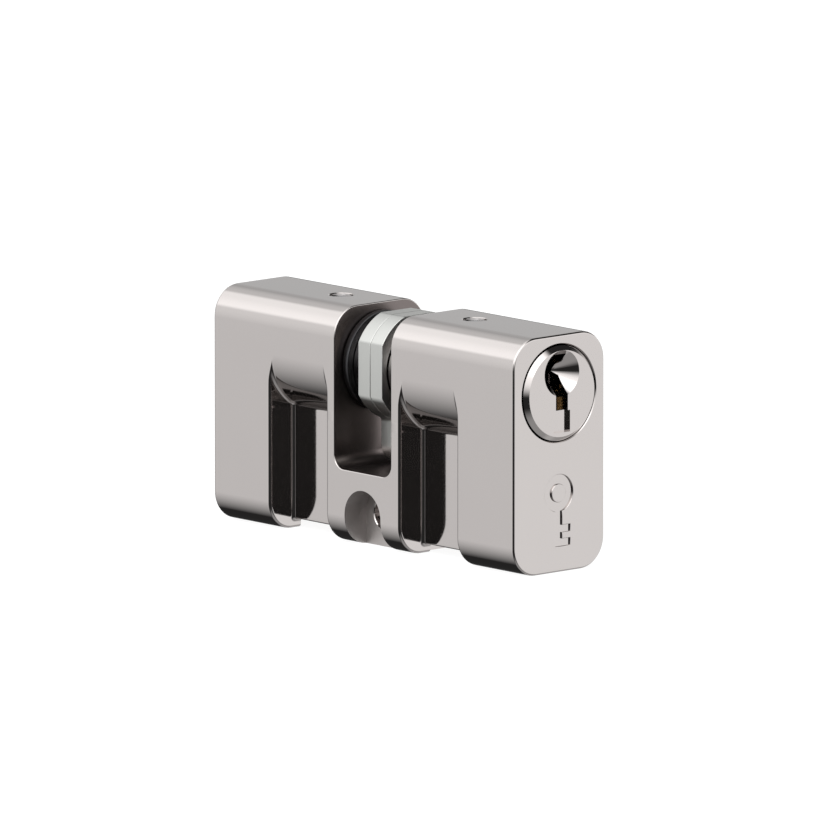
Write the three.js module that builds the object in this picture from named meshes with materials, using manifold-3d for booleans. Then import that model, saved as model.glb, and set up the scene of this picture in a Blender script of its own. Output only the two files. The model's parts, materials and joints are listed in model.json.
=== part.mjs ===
// Oval-profile double lock cylinder, 31/31 mm: a key turns the plug at either end, a clutch joins that plug to
// the cam in the middle slot, and the cam's lever throws the bolt of the lock case around it.
// Millimetres. X runs along the cylinder towards the front key face, Z is up, and the origin is on the flat
// underside below the middle of the housing.
import * as THREE from 'three';
import { mergeVertices } from 'three/addons/utils/BufferGeometryUtils.js';
import Module from 'manifold-3d';

// ---------------------------------------------------------------- driving dimensions

// Housing: a block with rounded long corners
const HALF_LENGTH = 31;
const BODY_WIDTH = 16.8;
const BODY_HEIGHT = 33;
const CORNER_RADIUS = 4.2;

// Plug axis, and the bore that the plugs turn in
const AXIS_Z = 24.9;
const BORE_RADIUS = 6.8;

// Side pockets: they leave a round barrel about the bore and a narrow flange for the pin chambers
const POCKET_START = 7.6;
const POCKET_END = 19.3;
const BARREL_RADIUS = 8.5;
const FLANGE_HALF_WIDTH = 3.95;
const FLANGE_BOTTOM = 1.35;

// Channel along the underside, where the pin chambers are closed
const CHANNEL_HALF_WIDTH = 2.64;
const CHANNEL_START = 6.4;
const CHANNEL_END = 28;

// Slot for the cam, open at the top and on both sides
const SLOT_HALF_WIDTH = 5.85;
const SLOT_BOTTOM = 10.7;
const SLOT_FILLET = 1.8;

// Recess and cross hole for the fixing screw
const RECESS_RADIUS = 3.7;
const RECESS_FLOOR = 4.4;
const SCREW_Z = 4.5;
const SCREW_HOLE_RADIUS = 2.1;

// Pins: five chambers in each half
const CHAMBER_COUNT = 5;
const CHAMBER_FIRST = 25.5;
const CHAMBER_PITCH = 4;
const CHAMBER_RADIUS = 1.5;
const PIN_RADIUS = 1.4;
const SPRING_RADIUS = 1.3;
const SPRING_BORE_RADIUS = 1;
const SHEAR_GAP = 0.35;
const DRIVER_LENGTH = 4.5;
const PIN_EDGE = 0.3;
const TIP_LENGTH = 0.9;
const TIP_RADIUS = 0.4;
const CAP_LENGTH = 1.3;
const CAP_RADIUS = 1.42;
const STACK_GAP = 0.1;
// Height of each key pin's tip above the plug axis, as the cuts of the matching key would set it
const KEY_TIPS = [-0.6, 0.2, -1, 0.6, -0.2];

// Holes in the top, with their pins
const TOP_HOLE_X = 13.8;
const TOP_HOLE_RADIUS = 1.7;
const TOP_PIN_RADIUS = 1.58;
const TOP_PIN_RECESS = 0.25;
const TOP_PIN_LENGTH = 0.9;

// Plug
const PLUG_RADIUS = 6.6;
const PLUG_FACE = 31.6;
const PLUG_BEVEL = 0.6;
const SHOULDER = 5.8;
const HUB_RADIUS = 6;
const HUB_END = 1.9;
const GROOVE_RADIUS = 5.2;
const GROOVE_START = 4.45;
const KEYWAY_HALF_WIDTH = 1.1;
const KEYWAY_BOTTOM = -2.4;
const KEYWAY_TOP = 5.4;
const PLUG_CHAMBER_TOP = 2.2;
const COUNTERSINK_RADIUS = 3.2;
const COUNTERSINK_RISE = 2.8;
const NOTCH_HALF_WIDTH = 1.5;
const NOTCH_BOTTOM = -5.4;
const NOTCH_DEPTH = 0.6;

// Circlip
const CLIP_OUTER = 7.2;
const CLIP_INNER = 5.35;
const CLIP_START = 4.6;
const CLIP_THICKNESS = 1.05;
const CLIP_GAP_DEGREES = 34;

// Cam: two equal plates
const CAM_RADIUS = 7.87;
const CAM_HALF_THICKNESS = 2.48;
const CAM_SEAM = 0.02;
const CAM_FLAT = 6.97;
const CAM_TOP_FLAT = 7.38;
const LEVER_HALF_WIDTH = 2.74;
const LEVER_REACH = 13.8;
const LEVER_ROOT_FILLET = 0.6;
const CAM_COUNTERBORE_RADIUS = 6.2;
const CAM_COUNTERBORE_DEPTH = 0.8;

// Clutch: a blade on a round core. It stands in the front plug's end slot.
const CLUTCH_START = 0.1;
const CLUTCH_END = 3.3;
const BLADE_HALF_WIDTH = 1.1;
const BLADE_HALF_HEIGHT = 5.1;
const CORE_RADIUS = 2.6;
const CLUTCH_CLEARANCE = 0.15;

// Extra length of a cutter past the surface that it cuts
const OVERRUN = 1;

// Sides of the round shapes
const BORE_SIDES = 48;
const CONE_SIDES = 32;
const HOLE_SIDES = 16;
const PIN_SIDES = 12;
const CORNER_STEPS = 6;
const BARREL_STEPS = 10;

// ---------------------------------------------------------------- solids

const wasm = await Module();
wasm.setup();

// Turns a closed three.js geometry into a solid that can be joined and cut.
function solid(geometry) {
  const bare = geometry.clone();
  bare.deleteAttribute('normal');
  bare.deleteAttribute('uv');
  const merged = mergeVertices(bare, 1e-4);
  const triangles = [];
  for (let i = 0; i < merged.index.count; i += 3) {
    const corners = [0, 1, 2].map((step) => merged.index.getX(i + step));
    if (new Set(corners).size === 3) triangles.push(...corners);
  }
  return new wasm.Manifold(new wasm.Mesh({
    numProp: 3,
    vertProperties: new Float32Array(merged.attributes.position.array),
    triVerts: new Uint32Array(triangles),
  }));
}

function geometryOf(manifold) {
  const mesh = manifold.getMesh();
  const geometry = new THREE.BufferGeometry();
  geometry.setAttribute('position', new THREE.BufferAttribute(mesh.vertProperties, mesh.numProp));
  geometry.setIndex(new THREE.BufferAttribute(mesh.triVerts, 1));
  const flat = geometry.toNonIndexed();
  flat.computeVertexNormals();
  return flat;
}

const cut = (base, ...cutters) => cutters.reduce((rest, cutter) => rest.subtract(cutter), base);

// ---------------------------------------------------------------- shapes

// Points on an arc about (u, v), from one angle to another, in degrees.
function arc(u, v, radius, from, to, steps) {
  return Array.from({ length: steps + 1 }, (_, i) => {
    const angle = THREE.MathUtils.degToRad(from + (to - from) * i / steps);
    return new THREE.Vector2(u + radius * Math.cos(angle), v + radius * Math.sin(angle));
  });
}

const outline = (...points) => points.flat().map((p) => (Array.isArray(p) ? new THREE.Vector2(...p) : p));

// Extrudes an outline drawn in Y and Z along X.
function alongX(points, x0, x1) {
  const geometry = new THREE.ExtrudeGeometry(new THREE.Shape(points), { depth: x1 - x0, bevelEnabled: false });
  const turn = new THREE.Matrix4().makeBasis(
    new THREE.Vector3(0, 1, 0),
    new THREE.Vector3(0, 0, 1),
    new THREE.Vector3(1, 0, 0),
  );
  return geometry.applyMatrix4(turn).translate(x0, 0, 0);
}

// Extrudes an outline drawn in X and Z along Y.
function alongY(points, y0, y1) {
  const geometry = new THREE.ExtrudeGeometry(new THREE.Shape(points), { depth: y1 - y0, bevelEnabled: false });
  return geometry.rotateX(Math.PI / 2).translate(0, y1, 0);
}

function box(x0, x1, y0, y1, z0, z1) {
  const geometry = new THREE.BoxGeometry(x1 - x0, y1 - y0, z1 - z0);
  return geometry.translate((x0 + x1) / 2, (y0 + y1) / 2, (z0 + z1) / 2);
}

// Turns a profile of [radius, height] pairs about an upright line through (x, y).
function turnedUpright(profile, sides, x = 0, y = 0) {
  const points = profile.map(([radius, z]) => new THREE.Vector2(radius, z));
  return new THREE.LatheGeometry(points, sides).rotateX(Math.PI / 2).translate(x, y, 0);
}

// Turns a profile of [radius, x] pairs about a line along X at height z.
function turnedAlongX(profile, sides, z = 0) {
  const points = profile.map(([radius, x]) => new THREE.Vector2(radius, x));
  return new THREE.LatheGeometry(points, sides).rotateZ(-Math.PI / 2).translate(0, 0, z);
}

const rodX = (radius, x0, x1, sides, z = 0) => (
  turnedAlongX([[0, x0], [radius, x0], [radius, x1], [0, x1]], sides, z)
);

const rodZ = (radius, z0, z1, sides, x = 0, y = 0) => (
  turnedUpright([[0, z0], [radius, z0], [radius, z1], [0, z1]], sides, x, y)
);

// ---------------------------------------------------------------- materials

function metal(color, roughness) {
  return new THREE.MeshStandardMaterial({ color, roughness, metalness: 1 });
}

const satinNickel = metal(0xc4c0bd, 0.25);
const blackSteel = metal(0x232323, 0.5);
const camSteel = metal(0xd6d8d4, 0.4);
const brass = metal(0xc7a765, 0.35);
const hardSteel = metal(0xb9bbbe, 0.3);
const springBronze = metal(0xb58a5a, 0.4);

// ---------------------------------------------------------------- housing

const bothSigns = [1, -1];
const chamberXs = Array.from({ length: CHAMBER_COUNT }, (_, i) => CHAMBER_FIRST - i * CHAMBER_PITCH);

function roundedSection() {
  const y = BODY_WIDTH / 2 - CORNER_RADIUS;
  const top = BODY_HEIGHT - CORNER_RADIUS;
  return outline(
    arc(y, CORNER_RADIUS, CORNER_RADIUS, -90, 0, CORNER_STEPS),
    arc(y, top, CORNER_RADIUS, 0, 90, CORNER_STEPS),
    arc(-y, top, CORNER_RADIUS, 90, 180, CORNER_STEPS),
    arc(-y, CORNER_RADIUS, CORNER_RADIUS, 180, 270, CORNER_STEPS),
  );
}

// What a side pocket takes away: all that is outside the barrel and the flange, on the side of the given sign.
function pocketSection(sign) {
  const side = BODY_WIDTH / 2;
  const flangeAngle = THREE.MathUtils.radToDeg(Math.acos(FLANGE_HALF_WIDTH / BARREL_RADIUS));
  const sideAngle = THREE.MathUtils.radToDeg(Math.acos(side / BARREL_RADIUS));
  const barrel = arc(0, AXIS_Z, BARREL_RADIUS, -sideAngle, -flangeAngle, BARREL_STEPS);
  const points = outline(
    [[FLANGE_HALF_WIDTH, -OVERRUN]],
    [[side + OVERRUN, -OVERRUN]],
    [[side + OVERRUN, barrel[0].y]],
    barrel,
  );
  return points.map((point) => new THREE.Vector2(sign * point.x, point.y));
}

function slotSection() {
  const x = SLOT_HALF_WIDTH - SLOT_FILLET;
  const z = SLOT_BOTTOM + SLOT_FILLET;
  return outline(
    [[-SLOT_HALF_WIDTH, BODY_HEIGHT + OVERRUN]],
    arc(-x, z, SLOT_FILLET, 180, 270, CORNER_STEPS),
    arc(x, z, SLOT_FILLET, 270, 360, CORNER_STEPS),
    [[SLOT_HALF_WIDTH, BODY_HEIGHT + OVERRUN]],
  );
}

function recessSection() {
  return outline(
    [[-RECESS_RADIUS, -OVERRUN]],
    [[RECESS_RADIUS, -OVERRUN]],
    arc(0, SCREW_Z, RECESS_RADIUS, 0, 180, 2 * CORNER_STEPS),
  );
}

// The cutters of the front half. The rear half has the same, turned about Z.
function halfCutters() {
  const side = BODY_WIDTH / 2 + OVERRUN;
  return [
    ...bothSigns.map((sign) => alongX(pocketSection(sign), POCKET_START, POCKET_END)),
    box(POCKET_START, POCKET_END, -side, side, -OVERRUN, FLANGE_BOTTOM),
    box(CHANNEL_START, CHANNEL_END, -CHANNEL_HALF_WIDTH, CHANNEL_HALF_WIDTH, -OVERRUN, FLANGE_BOTTOM),
    alongY(recessSection(), RECESS_FLOOR, side),
    rodZ(TOP_HOLE_RADIUS, AXIS_Z, BODY_HEIGHT + OVERRUN, HOLE_SIDES, TOP_HOLE_X),
    ...chamberXs.map((x) => rodZ(CHAMBER_RADIUS, 0, AXIS_Z, PIN_SIDES, x)),
  ];
}

function housingGeometry() {
  const side = BODY_WIDTH / 2 + OVERRUN;
  const length = HALF_LENGTH + OVERRUN;
  const block = solid(alongX(roundedSection(), -HALF_LENGTH, HALF_LENGTH));
  const screwHole = rodZ(SCREW_HOLE_RADIUS, -side, side, HOLE_SIDES).rotateX(Math.PI / 2);
  const cutters = [
    rodX(BORE_RADIUS, -length, length, BORE_SIDES, AXIS_Z),
    alongY(slotSection(), -side, side),
    screwHole.translate(0, 0, SCREW_Z),
    ...halfCutters(),
    ...halfCutters().map((cutter) => cutter.rotateZ(Math.PI)),
  ];
  return geometryOf(cut(block, ...cutters.map(solid)));
}

// ---------------------------------------------------------------- plug and its pins
// These are drawn about the plug axis, with X towards the plug's own key face.

function keywaySection() {
  const side = KEYWAY_HALF_WIDTH;
  // A warding rib stands into the slot from one side, above the axis.
  const rib = [[side, 2.2], [0.45, 2.75], [0.6, 3.8], [side, 4.25]];
  return outline([[-side, KEYWAY_BOTTOM], [side, KEYWAY_BOTTOM]], rib, [[side, KEYWAY_TOP], [-side, KEYWAY_TOP]]);
}

function plugGeometry() {
  const body = turnedAlongX([
    [0, HUB_END],
    [HUB_RADIUS, HUB_END],
    [HUB_RADIUS, GROOVE_START],
    [GROOVE_RADIUS, GROOVE_START],
    [GROOVE_RADIUS, SHOULDER],
    [PLUG_RADIUS, SHOULDER],
    [PLUG_RADIUS, PLUG_FACE - PLUG_BEVEL],
    [PLUG_RADIUS - PLUG_BEVEL, PLUG_FACE],
    [0, PLUG_FACE],
  ], BORE_SIDES);
  const face = PLUG_FACE + OVERRUN;
  // The countersink's cone is as deep as it is wide.
  const countersink = [[0, PLUG_FACE - COUNTERSINK_RADIUS], [COUNTERSINK_RADIUS + OVERRUN, face], [0, face]];
  const slotWidth = BLADE_HALF_WIDTH + CLUTCH_CLEARANCE;
  const slotHeight = BLADE_HALF_HEIGHT + CLUTCH_CLEARANCE;
  const slotEnd = CLUTCH_END + CLUTCH_CLEARANCE;
  const cutters = [
    alongX(keywaySection(), 0, face),
    turnedAlongX(countersink, CONE_SIDES, COUNTERSINK_RISE),
    box(PLUG_FACE - NOTCH_DEPTH, face, -NOTCH_HALF_WIDTH, NOTCH_HALF_WIDTH, NOTCH_BOTTOM, KEYWAY_BOTTOM),
    box(0, slotEnd, -slotWidth, slotWidth, -slotHeight, slotHeight),
    rodX(CORE_RADIUS + CLUTCH_CLEARANCE, 0, slotEnd, HOLE_SIDES),
    ...chamberXs.map((x) => rodZ(CHAMBER_RADIUS, -BORE_RADIUS - OVERRUN, PLUG_CHAMBER_TOP, PIN_SIDES, x)),
  ];
  return geometryOf(cut(solid(body), ...cutters.map(solid)));
}

function circlipGeometry() {
  const start = -90 + CLIP_GAP_DEGREES / 2;
  const end = 270 - CLIP_GAP_DEGREES / 2;
  const ring = outline(
    arc(0, 0, CLIP_OUTER, start, end, CONE_SIDES),
    arc(0, 0, CLIP_INNER, end, start, CONE_SIDES),
  );
  return alongX(ring, CLIP_START, CLIP_START + CLIP_THICKNESS);
}

// A pin with a small chamfer at its foot, and either a flat or a cone-pointed top.
function pinGeometry(x, foot, top, tipLength, tipRadius) {
  const profile = [
    [0, foot],
    [PIN_RADIUS - PIN_EDGE, foot],
    [PIN_RADIUS, foot + PIN_EDGE],
    [PIN_RADIUS, top - tipLength],
    [tipRadius, top],
    [0, top],
  ];
  return turnedUpright(profile, PIN_SIDES, x);
}

const SHEAR_LINE = -BORE_RADIUS;
const CAP_BOTTOM = FLANGE_BOTTOM - AXIS_Z;

const keyPinGeometry = (x, tip) => pinGeometry(x, SHEAR_LINE + SHEAR_GAP, tip, TIP_LENGTH, TIP_RADIUS);

const driverPinGeometry = (x) => (
  pinGeometry(x, SHEAR_LINE - DRIVER_LENGTH, SHEAR_LINE, PIN_EDGE, PIN_RADIUS - PIN_EDGE)
);

// A spring stands as a sleeve of its own outer and inner diameters.
function springGeometry(x) {
  const bottom = CAP_BOTTOM + CAP_LENGTH + STACK_GAP;
  const top = SHEAR_LINE - DRIVER_LENGTH - STACK_GAP;
  return turnedUpright([
    [SPRING_BORE_RADIUS, bottom],
    [SPRING_RADIUS, bottom],
    [SPRING_RADIUS, top],
    [SPRING_BORE_RADIUS, top],
    [SPRING_BORE_RADIUS, bottom],
  ], PIN_SIDES, x);
}

const chamberPlugGeometry = (x) => rodZ(CAP_RADIUS, CAP_BOTTOM, CAP_BOTTOM + CAP_LENGTH, PIN_SIDES, x);

function topPinGeometry() {
  const top = BODY_HEIGHT - AXIS_Z - TOP_PIN_RECESS;
  return turnedUpright([
    [0, top - TOP_PIN_LENGTH],
    [TOP_PIN_RADIUS, top - TOP_PIN_LENGTH],
    [TOP_PIN_RADIUS, top - PIN_EDGE],
    [TOP_PIN_RADIUS - PIN_EDGE, top],
    [0, top],
  ], HOLE_SIDES, TOP_HOLE_X);
}

// ---------------------------------------------------------------- cam and clutch
// These are drawn about the plug axis too. The lever hangs straight down.

function camSection() {
  const degrees = THREE.MathUtils.radToDeg;
  const topAngle = degrees(Math.asin(CAM_TOP_FLAT / CAM_RADIUS));
  const sideAngle = degrees(Math.acos(CAM_FLAT / CAM_RADIUS));
  // Where the lever leaves the round, and the little fillet there
  const root = LEVER_HALF_WIDTH + LEVER_ROOT_FILLET;
  const rootAngle = degrees(Math.acos(root / CAM_RADIUS));
  const rootZ = -Math.sqrt((CAM_RADIUS + LEVER_ROOT_FILLET) ** 2 - root ** 2);
  const right = outline(
    arc(0, -LEVER_REACH + LEVER_HALF_WIDTH, LEVER_HALF_WIDTH, -90, 0, CORNER_STEPS),
    arc(root, rootZ, LEVER_ROOT_FILLET, 180, 180 - rootAngle, 3),
    arc(0, 0, CAM_RADIUS, -rootAngle, -sideAngle, 3),
    arc(0, 0, CAM_RADIUS, sideAngle, topAngle, 5),
  );
  const left = right.slice(1).reverse().map((point) => new THREE.Vector2(-point.x, point.y));
  return [...right, ...left];
}

// The front plate. The rear one is the same, turned about Z.
function camHalfGeometry() {
  const plate = alongX(camSection(), CAM_SEAM, CAM_HALF_THICKNESS);
  const counterbore = CAM_HALF_THICKNESS - CAM_COUNTERBORE_DEPTH;
  const through = CAM_HALF_THICKNESS + OVERRUN;
  const slotWidth = BLADE_HALF_WIDTH + CLUTCH_CLEARANCE;
  const slotHeight = BLADE_HALF_HEIGHT + CLUTCH_CLEARANCE;
  const cutters = [
    rodX(CAM_COUNTERBORE_RADIUS, counterbore, through, BORE_SIDES),
    rodX(CORE_RADIUS + CLUTCH_CLEARANCE, -OVERRUN, through, HOLE_SIDES),
    box(-OVERRUN, through, -slotWidth, slotWidth, -slotHeight, slotHeight),
  ];
  return geometryOf(cut(solid(plate), ...cutters.map(solid)));
}

function clutchGeometry() {
  const blade = box(
    CLUTCH_START,
    CLUTCH_END,
    -BLADE_HALF_WIDTH,
    BLADE_HALF_WIDTH,
    -BLADE_HALF_HEIGHT,
    BLADE_HALF_HEIGHT,
  );
  const core = rodX(CORE_RADIUS, CLUTCH_START, CLUTCH_END, HOLE_SIDES);
  return geometryOf(solid(blade).add(solid(core)));
}

// ---------------------------------------------------------------- assembly

function piece(name, geometry, material) {
  const mesh = new THREE.Mesh(geometry, material);
  mesh.name = name;
  return mesh;
}

// Everything that one end has of its own, about the plug axis.
function endPieces(end) {
  const group = new THREE.Group();
  group.add(
    piece(`plug_${end}`, plugGeometry(), satinNickel),
    piece(`circlip_${end}`, circlipGeometry(), blackSteel),
    piece(`cam_half_${end}`, camHalfGeometry(), camSteel),
    piece(`top_pin_${end}`, topPinGeometry(), hardSteel),
  );
  chamberXs.forEach((x, i) => {
    const label = `${end}_${i + 1}`;
    group.add(
      piece(`key_pin_${label}`, keyPinGeometry(x, KEY_TIPS[i]), brass),
      piece(`driver_pin_${label}`, driverPinGeometry(x), hardSteel),
      piece(`spring_${label}`, springGeometry(x), springBronze),
      piece(`chamber_plug_${label}`, chamberPlugGeometry(x), brass),
    );
  });
  return group;
}

const cylinder = new THREE.Group();
cylinder.add(piece('housing', housingGeometry(), satinNickel));

const onAxis = new THREE.Group();
onAxis.position.z = AXIS_Z;
const rear = endPieces('rear');
rear.rotation.z = Math.PI;
onAxis.add(endPieces('front'), rear, piece('clutch', clutchGeometry(), hardSteel));
cylinder.add(onAxis);

export default cylinder;
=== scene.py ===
"""Looks of an oval-profile double lock cylinder: fine meshes and procedural finishes around its CAD frame.

Every piece is built in millimetres about the row's own axes and scaled to metres at the end.
"""
import json
import math

import bmesh
import bpy
from mathutils import Matrix, Vector


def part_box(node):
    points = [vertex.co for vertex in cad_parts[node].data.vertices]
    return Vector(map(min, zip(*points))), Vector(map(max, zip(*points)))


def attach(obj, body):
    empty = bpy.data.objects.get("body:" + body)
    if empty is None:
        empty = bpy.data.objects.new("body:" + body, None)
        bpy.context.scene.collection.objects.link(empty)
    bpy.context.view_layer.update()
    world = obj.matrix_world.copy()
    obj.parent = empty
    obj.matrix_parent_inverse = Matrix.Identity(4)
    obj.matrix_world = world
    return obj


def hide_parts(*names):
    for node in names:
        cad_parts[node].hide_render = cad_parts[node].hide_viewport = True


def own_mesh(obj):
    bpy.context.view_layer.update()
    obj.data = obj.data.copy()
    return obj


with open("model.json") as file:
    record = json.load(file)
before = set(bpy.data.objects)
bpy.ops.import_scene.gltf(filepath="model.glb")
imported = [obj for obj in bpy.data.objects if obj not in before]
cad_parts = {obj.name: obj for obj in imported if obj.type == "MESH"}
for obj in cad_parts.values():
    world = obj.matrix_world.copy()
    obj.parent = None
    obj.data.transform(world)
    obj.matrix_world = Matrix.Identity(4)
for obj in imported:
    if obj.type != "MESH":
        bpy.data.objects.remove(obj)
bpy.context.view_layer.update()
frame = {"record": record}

bl_info = {
    "name": "Lock Cylinder",
    "version": (1, 0, 0),
    "blender": (4, 5, 0),
    "location": "3D View > Sidebar > Lock Cylinder",
    "description": "Builds the housing, plugs, cam and pins of an oval-profile lock cylinder",
    "category": "Object",
}

# ---------------------------------------------------------------- sizes from the frame, in millimetres

MM = 0.001
HOUSING_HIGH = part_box("housing")[1] / MM
HALF_LENGTH = HOUSING_HIGH.x
HALF_WIDTH = HOUSING_HIGH.y
HEIGHT = HOUSING_HIGH.z
PLUG_LOW, PLUG_HIGH = (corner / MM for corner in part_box("plug_front"))
AXIS_Z = (PLUG_LOW.z + PLUG_HIGH.z) / 2
CLIP_LOW, CLIP_HIGH = (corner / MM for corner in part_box("circlip_front"))
CHAMBERS = range(1, 6)
PIN_RADIUS = 1.4
PIN_X = {i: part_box(f"key_pin_front_{i}")[0].x / MM + PIN_RADIUS for i in CHAMBERS}

# Every shape is drawn for the front end. The rear end has the same, turned half a turn about Z.
TURNS = {"front": 0, "rear": math.pi}

BODY_OF = {
    node: body
    for body, nodes in frame["record"]["behaviour"]["bodies"].items()
    for node in nodes
}
SLOT_OF = {part["node"]: part["material_slot"] for part in frame["record"]["subparts"]}

# ---------------------------------------------------------------- sizes of the shapes, in millimetres

CORNER_RADIUS = 4.2
BARREL_RADIUS = HALF_WIDTH
FLANGE_HALF = 3.95
FLANGE_BOTTOM = 1.35
FLANGE_FILLET = 0.5
FLANGE_EDGE = 0.25
POCKET = (7.6, 19.3)
BORE_RADIUS = 6.8
BORE_CHAMFER = 0.12
SLOT_HALF = 5.85
SLOT_BOTTOM = 10.7
SLOT_FILLET = 1.8
RECESS_RADIUS = 3.7
RECESS_FLOOR = 4.4
SCREW_Z = 4.5
SCREW_HOLE_RADIUS = 2.1
SCREW_CHAMFER = 0.12
CHANNEL_HALF = 2.64
CHANNEL = (6.4, 28)
CHAMBER_RADIUS = 1.5
TOP_HOLE_X = 13.8
TOP_HOLE_RADIUS = 1.7
TOP_HOLE_CHAMFER = 0.12

PLUG_RADIUS = PLUG_HIGH.z - AXIS_Z
PLUG_FACE = PLUG_HIGH.x
PLUG_END = PLUG_LOW.x
PLUG_BEVEL = 0.6
HUB_RADIUS = 6
SHOULDER = 5.8
GROOVE_START = 4.45
GROOVE_RADIUS = 5.2
KEYWAY_HALF = 1.1
KEYWAY = (-2.4, 5.4)
KEYWAY_RIB = ((1.1, 2.2), (0.45, 2.75), (0.6, 3.8), (1.1, 4.25))
NOTCH_HALF = 1.5
NOTCH_LOW = -5.4
NOTCH_DEPTH = 0.6
COUNTERSINK_RADIUS = 3.2
COUNTERSINK_RISE = 2.8
PLUG_CHAMBER_TOP = 2.2

CLIP_OUTER = (CLIP_HIGH.z - CLIP_LOW.z) / 2
CLIP_INNER = 5.35
CLIP_GAP = 34

CAM_RADIUS = 7.87
CAM_SEAM = 0.02
CAM_HALF = 2.48
CAM_FLAT = 6.97
CAM_TOP = 7.38
LEVER_HALF = 2.74
LEVER_REACH = 13.8
LEVER_ROOT = 0.6
COUNTERBORE_RADIUS = 6.2
COUNTERBORE_DEPTH = 0.8

BLADE_HALF = 1.1
BLADE_REACH = 5.1
CLUTCH = (0.1, 3.3)
CORE_RADIUS = 2.6
FIT = 0.15

SHEAR_LINE = AXIS_Z - BORE_RADIUS
SHEAR_GAP = 0.35
DRIVER_LENGTH = 4.5
TIP_LENGTH = 0.9
TIP_RADIUS = 0.4
PIN_EDGE = 0.3
CAP_RADIUS = 1.42
CAP_LENGTH = 1.3
STACK_GAP = 0.1
SPRING_RADIUS = 1.3
SPRING_TURNS = 15
SPRING_DEAD_TURNS = 1
SPRING_FOOT = FLANGE_BOTTOM + CAP_LENGTH + STACK_GAP
SPRING_HEAD = SHEAR_LINE - DRIVER_LENGTH - STACK_GAP
TOP_PIN_RADIUS = 1.58
TOP_PIN_RECESS = 0.25
TOP_PIN_LENGTH = 0.9

# The mark on the front key face: a plain outline of a key, standing on its tip
MARK_BOW_Z = 11.0
MARK_BOW_RADIUS = 2.6
MARK_EYE_RADIUS = 1.3
MARK_SHAFT_HALF = 0.6
MARK_TIP_Z = 3.6
MARK_TOOTH_REACH = 2.1
MARK_TEETH = ((3.6, 4.6), (5.5, 6.5))
MARK_EDGE = 0.1

PAST = 1.0
ROUND_SIDES = 96
HOLE_SIDES = 48
PIN_SIDES = 32
ARC_STEPS = 14
FILLET_STEPS = 6
EDGE_STEPS = 4
MERGE = 1e-4
NEAR = 1e-3
CREASE = math.radians(32)


# ---------------------------------------------------------------- what a user would change

class LockShape(bpy.types.PropertyGroup):
    """Sizes of the roundings, the engraving and the wire."""

    face_edge: bpy.props.FloatProperty(
        name="Face edge", description="Rounding of the edge around each key face",
        default=0.32 * MM, min=0.05 * MM, max=0.8 * MM, precision=5, unit="LENGTH",
    )
    pocket_mouth: bpy.props.FloatProperty(
        name="Pocket mouth", description="Rounding of the edge where the side turns into a pocket",
        default=0.47 * MM, min=0.05 * MM, max=0.7 * MM, precision=5, unit="LENGTH",
    )
    pocket_root: bpy.props.FloatProperty(
        name="Pocket root", description="Fillet where a pocket's wall meets the flange and the barrel",
        default=0.65 * MM, min=0.05 * MM, max=0.7 * MM, precision=5, unit="LENGTH",
    )
    slot_edge: bpy.props.FloatProperty(
        name="Slot edge", description="Rounding of the mouths of the cam slot and the screw recesses",
        default=0.15 * MM, min=0.02 * MM, max=0.5 * MM, precision=5, unit="LENGTH",
    )
    cam_edge: bpy.props.FloatProperty(
        name="Cam edge", description="Rounding of the edges of the two cam plates",
        default=0.08 * MM, min=0.02 * MM, max=0.4 * MM, precision=5, unit="LENGTH",
    )
    mark_depth: bpy.props.FloatProperty(
        name="Mark depth", description="Depth of the key mark engraved in the front key face",
        default=0.25 * MM, min=0.02 * MM, max=0.5 * MM, precision=5, unit="LENGTH",
    )
    wire: bpy.props.FloatProperty(
        name="Spring wire", description="Diameter of the wire that the pin springs are wound from",
        default=0.32 * MM, min=0.1 * MM, max=0.5 * MM, precision=5, unit="LENGTH",
    )


def linear(code):
    """An sRGB colour written as #rrggbb, as linear red, green, blue and alpha."""
    channels = [int(code[i:i + 2], 16) / 255 for i in (1, 3, 5)]
    return (*(c / 12.92 if c <= 0.04045 else ((c + 0.055) / 1.055) ** 2.4 for c in channels), 1.0)


def colour_property(name, description, code):
    return bpy.props.FloatVectorProperty(
        name=name, description=description, default=linear(code), size=4, min=0, max=1, subtype="COLOR",
    )


class LockFinish(bpy.types.PropertyGroup):
    """Colours of the metals and of the floor."""

    nickel: colour_property("Nickel", "Polished nickel plate of the housing and the plugs", "#beb9b7")
    # Slot nickel: its darker, browner colour is painted shade of the cam slot
    slot_painted_shade_nickel: colour_property("Thin nickel", "Thin, duller nickel plate inside the cam slot", "#7a7270")
    zinc: colour_property("Zinc", "Bright zinc plate of the cam", "#c2c3c0")
    black_oxide: colour_property("Black oxide", "Blackened steel of the circlips", "#4c4c4e")
    steel: colour_property("Steel", "Ground hardened steel of the drivers and the clutch", "#a4a6a8")
    brass: colour_property("Brass", "Turned brass of the key pins and chamber plugs", "#ba9b65")
    bronze: colour_property("Bronze", "Drawn bronze wire of the springs", "#ae835e")
    floor: colour_property("Floor", "Pale floor that the cylinder stands on", "#ffffff")


# ---------------------------------------------------------------- node helper and materials

def add(tree, kind, inputs=None, **settings):
    """Adds a node with its settings. Each input is a value, or the output that it is linked from."""
    node = tree.nodes.new(kind)
    for name, value in settings.items():
        setattr(node, name, value)
    for socket, value in (inputs or {}).items():
        if isinstance(value, bpy.types.NodeSocket):
            tree.links.new(value, node.inputs[socket])
        else:
            node.inputs[socket].default_value = value
    return node


# Sockets of a Mix node that is set to mix colours
MIX_FACTOR = 0
MIX_A = 6
MIX_B = 7
MIX_RESULT = 2


# A Wave texture repeats every 2 pi / 20 of its scale
WAVES_PER_SCALE = math.pi / 10


def per_metre(size_mm):
    """Scale of a texture whose features are this many millimetres apart."""
    return 1 / (size_mm * MM)


def shaded(colour, share):
    """A colour made darker, or lighter when share is over 1."""
    return (*(min(1.0, channel * share) for channel in colour[:3]), 1.0)


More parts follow.
